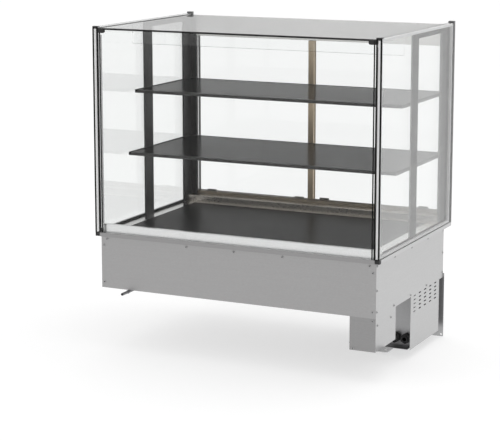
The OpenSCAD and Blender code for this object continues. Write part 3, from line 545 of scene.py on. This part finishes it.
gland = next(m for m in frame["record"]["mounts"] if m["name"] == "right_gland")
bore = gland["dims"]["r_mm"] / 1000
nuts = bmesh.new()
for points in solids_of("gland_nuts"):
    low, high = extent(points)
    flats, middle = high.x - low.x, (low + high) / 2
    dome, ribbed = high.y - low.y, 0.410 * flats
    # distance back from the dome's tip, greatest radius, and whether the hexagon shows
    rows = [(dome, bore, False), (dome, flats, True), (0.36 * dome, flats, True),
            (0.31 * dome, 0.545 * flats, True), (0.29 * dome, 0.49 * flats, False),
            (0.27 * dome, 0.425 * flats, False), (0.13 * dome, ribbed, False),
            (0.05 * dome, 0.375 * flats, False), (0.0, 0.315 * flats, False),
            (0.01 * dome, bore + 0.0012, False), (0.10 * dome, bore, False), (dome, bore, False)]
    loops = []
    for back, limit, hexed in rows:
        loop = []
        for i in range(96):
            a = 2 * math.pi * i / 96
            r = min(hexagon(a, flats), limit) if hexed else limit
            if limit == ribbed and i % 4 < 2:
                r *= 0.985
            loop.append(Vector((middle.x + r * math.cos(a), low.y + back, middle.z + r * math.sin(a))))
        loops.append(loop)
    part = rings_mesh("nut", loops, closed_ends=False)
    nuts.from_mesh(part)
    bpy.data.meshes.remove(part)
bmesh.ops.remove_doubles(nuts, verts=nuts.verts, dist=1e-6)
bmesh.ops.recalc_face_normals(nuts, faces=nuts.faces)
nut_mesh = bpy.data.meshes.new("gland_caps")
nuts.to_mesh(nut_mesh)
nuts.free()
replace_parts(shown("gland_caps", nut_mesh, "case", black_nylon), "gland_nuts")

# ---------------------------------------------------------------- control panel
# A 2 mm brushed plate on the operator side. It carries a rocker switch and three heat knobs,
# each with printed marks and an amber pilot lamp above it.
finish_node("control_panel", brushed_steel("control panel steel", (0.52, 0.52, 0.525), 0, 0.38))
finish_node("rocker_housing", black_nylon, 0.0006)
finish_node("regulator_bodies", moulded("regulator plastic", (0.62, 0.58, 0.46), 0.5))

f = Finish("lit green rocker")
haze = f.noise(120.0)
rocker_green = f.done(f.surface(
    Base_Color=f.tint(haze, (0.004, 0.15, 0.02), (0.010, 0.30, 0.05)), Roughness=haze * 0.1 + 0.18,
    Coat_Weight=0.4, Emission_Color=f.tint(haze, (0.002, 0.12, 0.015), (0.004, 0.20, 0.025)),
    Emission_Strength=0.3))
finish_node("main_rocker", rocker_green, 0.0012, 3)

f = Finish("amber lamp")
haze = f.noise(300.0)
amber = f.done(f.surface(
    Base_Color=f.tint(haze, (0.52, 0.11, 0.002), (0.78, 0.22, 0.005)), Roughness=haze * 0.1 + 0.12,
    Coat_Weight=0.6, Emission_Color=f.tint(haze, (0.70, 0.14, 0.002), (0.95, 0.24, 0.005)),
    Emission_Strength=0.15))
finish_node("pilot_lamps", amber, 0.0008, 3)

f = Finish("white print")
wear = f.noise(600.0)
white_print = f.done(f.surface(Base_Color=f.tint(wear, (0.55, 0.55, 0.54), (0.86, 0.86, 0.85)),
                               Roughness=wear * 0.1 + 0.5))
f = Finish("dark print")
wear = f.noise(600.0)
dark_print = f.done(f.surface(Base_Color=f.tint(wear, (0.010, 0.010, 0.010), (0.045, 0.045, 0.045)),
                              Roughness=wear * 0.1 + 0.5))

panel_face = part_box("control_panel")[1].y
# half sizes of the printed marks, and how far they stand from their knob or switch
print_t = 0.0001
tick_w, tick_h, tick_gap = 0.0007, 0.0014, 0.0034
bar_w, thick_bar, thin_bar, bar_drop, bar_pitch = 0.0075, 0.0011, 0.0003, 0.016, 0.0045
switch_gap, ring_r = 0.006, 0.0022
marks = []
for tier, body in enumerate(("deck_knob", "lower_shelf_knob", "upper_shelf_knob")):
    low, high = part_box(body)
    radius = (high.x - low.x) / 2
    centre = Vector(((low.x + high.x) / 2, 0, high.z - radius))
    face = high.y
    skirt = panel_face + 0.001
    # skirt, waist, fluted grip, rounded rim, dished top
    rows = [(radius * 0.30, skirt + 0.0006, 0), (radius, skirt, 0), (radius, skirt + 0.0028, 0),
            (radius * 0.95, skirt + 0.0040, 0), (radius * 0.80, skirt + 0.0046, 0),
            (radius * 0.77, skirt + 0.0070, 0.00055), (radius * 0.75, face - 0.0040, 0.00055),
            (radius * 0.73, face - 0.0024, 0.0002), (radius * 0.66, face - 0.0015, 0),
            (radius * 0.55, face - 0.0018, 0), (radius * 0.08, face - 0.0021, 0)]
    loops = [[Vector((centre.x + p.x, p.z, centre.z + p.y)) for p in loop]
             for loop in turned(rows, 108, 18)]
    grip = rings_mesh(body + "_grip", loops)
    bm = bmesh.new()
    bm.from_mesh(grip)
    # the pointer is a white bar let into the rim and the top
    first = len(bm.faces)
    half, proud, deep_in = 0.0011, 0.00025, 0.0008
    root, tip = radius * 0.34, radius * 0.76
    path = [(root, face - 0.0020), (radius * 0.62, face - 0.0014), (radius * 0.715, face - 0.0018),
            (tip, face - 0.0042), (tip, skirt + 0.0055)]
    strip = [[bm.verts.new((centre.x + side * half, y + lift, centre.z + r + lift))
              for side, lift in ((-1, proud), (1, proud), (1, -deep_in), (-1, -deep_in))]
             for r, y in path]
    for a, b in zip(strip, strip[1:]):
        for i in range(4):
            bm.faces.new((a[i], a[(i + 1) % 4], b[(i + 1) % 4], b[i]))
    bm.faces.new(strip[0])
    bm.faces.new(strip[-1][::-1])
    bmesh.ops.recalc_face_normals(bm, faces=bm.faces)
    bm.faces.ensure_lookup_table()
    for k, polygon in enumerate(bm.faces):
        polygon.material_index = 1 if k >= first else 0
        polygon.smooth = k < first
    grip.materials.append(black_nylon)
    grip.materials.append(white_print)
    bm.to_mesh(grip)
    bm.free()
    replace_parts(shown(body + "_grip", grip, body, black_nylon), body)
    # dial marks through 270 degrees, longer at each end, and a bar for each tier
    for step in range(10):
        a = math.radians(step * 30)
        out = Vector((-math.sin(a), 0, math.cos(a)))
        long = 1.5 if step in (0, 9) else 1.0
        marks.append((centre + out * (radius + tick_gap) + Vector((0, panel_face, 0)), (0, -a, 0),
                      (tick_w, print_t, tick_h * long)))
    for row in range(3):
        z = centre.z - radius - bar_drop + row * bar_pitch
        marks.append((Vector((centre.x, panel_face, z)), (0, 0, 0),
                      (bar_w, print_t, thick_bar if row == tier else thin_bar)))

rocker_low, rocker_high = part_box("rocker_housing")
rocker_mid = (rocker_low + rocker_high) / 2
bar = bmesh.new()
bmesh.ops.create_cube(bar, size=2.0)
deep_edges = [e for e in bar.edges if abs((e.verts[0].co - e.verts[1].co).y) > 1]
bmesh.ops.bevel(bar, geom=deep_edges, offset=0.5, segments=3, affect="EDGES", profile=0.5)
bar_mesh = bpy.data.meshes.new("print_bar")
bar.to_mesh(bar_mesh)
bar.free()
# a bar above the switch for on, and a ring of short bars under it for off
marks.append((Vector((rocker_mid.x, panel_face, rocker_high.z + switch_gap)), (0, 0, 0),
              (0.0006, print_t, 0.0025)))
for step in range(16):
    a = 2 * math.pi * step / 16
    marks.append((Vector((rocker_mid.x + ring_r * math.cos(a), panel_face,
                          rocker_low.z - switch_gap + ring_r * math.sin(a))),
                  (0, -a, 0), (0.0003, print_t, 0.0005)))
shown("panel_marks", repeated("panel_marks", bar_mesh, marks, dark_print),
      "case", dark_print)

# ---------------------------------------------------------------- inside the control housing
# A terminal block and relays stand on the housing's floor, with sleeved wires between them.
# They are bought-in parts with moulded plastic bodies.
finish_node("terminal_block", moulded("terminal plastic", (0.66, 0.63, 0.52), 0.45), 0.0006)
finish_node("power_relays", moulded("relay plastic", (0.58, 0.60, 0.62), 0.35), 0.0008)
f = Finish("wire sleeve")
braid = f.noise(1.0, (900.0, 900.0, 260.0), 2.0)
finish_node("wiring", f.done(f.surface(
    Base_Color=f.tint(braid, (0.006, 0.006, 0.006), (0.05, 0.05, 0.05)), Roughness=braid * 0.2 + 0.55,
    Normal=f.bump(braid, 0.0004))))

# ---------------------------------------------------------------- side glazing
# Two 6 mm panes at each side with a spacer frame between them. The panes' edges are ground and
# painted black. Black caps cover the front corners and a folded profile closes the rear edge.


def clear_glass(name, node, black=None, width=0.0012, tone=(0.948, 0.954, 0.952), bend=1.3):
    """Clear float glass. black is a list of (axis, side) edges with a black border of that width.
    bend is its refractive index, low where a coating takes the gloss off it."""
    f = Finish(name)
    speck = f.noise(55.0, detail=4.0)
    glass = f.surface(Base_Color=f.shade(speck, tone, 0.99, 1.0),
                      Roughness=0.0, IOR=bend, Transmission_Weight=1.0)
    if not black:
        return f.done(glass)
    low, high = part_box(node)
    point = f.axes()
    edge = None
    for axis, side in black:
        near = point[axis] < low[axis] + width if side < 0 else point[axis] > high[axis] - width
        edge = near if edge is None else edge | near
    paint = f.surface(Base_Color=f.tint(speck, (0.003, 0.003, 0.003), (0.009, 0.009, 0.009)),
                      Roughness=speck * 0.1 + 0.30, Specular_IOR_Level=0.12)
    return f.done(f.add("ShaderNodeMixShader", {}, {0: edge, 1: glass, 2: paint}))


for side in ("outer", "inner"):
    finish_node(side + "_panes", clear_glass(side + " pane glass", side + "_panes", [(1, -1)],
                                             tone=(0.972, 0.976, 0.974)))
finish_node("glazing_spacers", moulded("spacer plastic", (0.93, 0.93, 0.93), 0.40), 0.0008)
finish_node("glazing_caps", moulded("black cap plastic", (0.008, 0.008, 0.0085), 0.40), 0.0009)

f = Finish("seal rubber")
pits = f.noise(500.0)
seal_rubber = f.done(f.surface(
    Base_Color=f.tint(pits, (0.010, 0.010, 0.010), (0.030, 0.030, 0.030)),
    Roughness=pits * 0.1 + 0.62))
finish_node("glazing_gaskets", seal_rubber, 0.0015, 3)


def powder_coat(name, tone, rough=0.42):
    """Powder-coated steel with a slight orange peel."""
    f = Finish(name)
    peel = f.noise(800.0, detail=1.0)
    patch = f.noise(14.0)
    return f.done(f.surface(
        Base_Color=f.shade(patch * 0.7 + peel * 0.3, tone, 0.86, 1.16),
        Roughness=peel * 0.12 + rough + patch * 0.06, Normal=f.bump(peel, 0.00005, 0.35)))


finish_node("rear_corner_posts", powder_coat("grey powder coat", (0.15, 0.15, 0.152)), 0.0008)

# ---------------------------------------------------------------- frame
# Flat steel posts and rails carry the shelves and the roof glass. They and the rear uprights
# are powder-coated dark grey; the top beam and the door track are anodised aluminium.
dark_coat = powder_coat("dark powder coat", (0.045, 0.045, 0.043))
for node in ("frame_posts", "top_rails", "rear_uprights"):
    finish_node(node, dark_coat, 0.0007)


def anodised(name, tone, along):
    """Brushed and anodised aluminium."""
    f = Finish(name)
    fine = f.brush_marks(along, 5.0, 1100.0)
    cloud = f.noise(7.0)
    return f.done(f.surface(
        Base_Color=f.shade(fine * 0.6 + cloud * 0.4, tone, 0.84, 1.16),
        Metallic=1.0, Roughness=fine * 0.12 + 0.30, Normal=f.bump(fine, 0.00002, 0.4)))


finish_node("rear_top_beam", anodised("beam aluminium", (0.78, 0.77, 0.75), 0), 0.0006)
finish_node("door_track", anodised("track aluminium", (0.33, 0.285, 0.23), 0), 0.0004)

# ---------------------------------------------------------------- roof glass and air strip
# A sheet of 6 mm glass lies on the rails and the beam. A clear strip hangs from it above the
# upper shelf's edge and holds the warm air back.
finish_node("top_glass", clear_glass("roof glass", "top_glass", [(1, -1)], 0.0010))
finish_node("air_deflector", clear_glass("strip glass", "air_deflector", [(2, -1)], 0.0004,
                                         (0.98, 0.985, 0.985)))

# ---------------------------------------------------------------- shelves
# Each shelf is a 5 mm black glass plate with a flat heater under it. It lies in two side arms
# and is held by a front and a rear profile, all in dark powder-coated steel.
shelf_coat = powder_coat("shelf powder coat", (0.030, 0.030, 0.029), 0.36)
shelf_glass = black_glass("shelf glass", 0.10, 0.10)
for tier in ("upper", "lower"):
    finish_node(tier + "_shelf_glass", shelf_glass, 0.0006)
    finish_node(tier + "_shelf_frame", shelf_coat, 0.0006)
finish_node("shelf_heaters", foil)

# ---------------------------------------------------------------- front glass
# One sheet of 6 mm toughened glass with a black top border. Two black clamps grip its top
# corners and turn on pins in small plates bonded to the side panes.
finish_node("front_glass", clear_glass("front glass", "front_glass", [(2, 1), (0, -1), (0, 1)], 0.0026,
                                       (0.955, 0.960, 0.958), 1.22))
clamp_black = powder_coat("clamp powder coat", (0.007, 0.007, 0.007), 0.36)
finish_node("glass_clamps", clamp_black, 0.0020, 4)
finish_node("pivot_plates", clamp_black, 0.0006)

# ---------------------------------------------------------------- sliding doors
# Two panes of 5 mm glass, each with an anodised stile where they meet and two nylon shoes
# that run in the bottom track.
champagne = anodised("champagne aluminium, upright", (0.50, 0.41, 0.30), 2)
shoe_grey = moulded("shoe nylon", (0.25, 0.235, 0.21), 0.45)
for side in ("left", "right"):
    finish_node(side + "_door_glass", clear_glass(side + " door glass", side + "_door_glass"))
    finish_node(side + "_door_stile", champagne, 0.0010)
    finish_node(side + "_door_rollers", shoe_grey, 0.0005)

# ---------------------------------------------------------------- floor and light
# A pale floor without seams, just under the case, in an even white studio that is brighter
# towards the top. One large softbox hangs overhead.
low, high = cad_box
middle = (low + high) / 2
reach, gap = 150, 0.001
floor_mesh = bpy.data.meshes.new("floor")
floor_mesh.from_pydata([(x * reach, y * reach, low.z - gap)
                        for x, y in ((-1, -1), (1, -1), (1, 1), (-1, 1))], [], [(0, 1, 2, 3)])
floor = bpy.data.objects.new("floor", floor_mesh)
scene.collection.objects.link(floor)
f = Finish("pale floor")
mottle = f.noise(0.6)
floor_mesh.materials.append(f.done(f.surface(
    Base_Color=f.tint(mottle, (0.50, 0.50, 0.50), (0.54, 0.54, 0.54)), Roughness=0.9,
    Emission_Color=(1, 1, 1), Emission_Strength=0.54)))

sky = Finish("studio", bpy.data.worlds)
height = sky.add("ShaderNodeSeparateXYZ", {}, {0: sky.add("ShaderNodeTexCoord", {}, {})}, 2)
strength = sky.add("ShaderNodeMapRange", {}, {"Value": height, "To Min": 0.62, "To Max": 1.0})
light = sky.add("ShaderNodeBackground", {}, {"Color": (1, 1, 1), "Strength": strength})
sky.add("ShaderNodeOutputWorld", {}, {"Surface": light})
scene.world = sky.made


def softbox(name, place, aim, size, power):
    """A large square area light."""
    light = bpy.data.lights.new(name, "AREA")
    light.shape, light.size, light.energy = "SQUARE", size, power
    lamp = bpy.data.objects.new(name, light)
    scene.collection.objects.link(lamp)
    lamp.location = place
    lamp.rotation_euler = (Vector(aim) - Vector(place)).to_track_quat("-Z", "Y").to_euler()


softbox("overhead", middle + Vector((0.6, 0.4, 3.0)), middle, 3.0, 25)
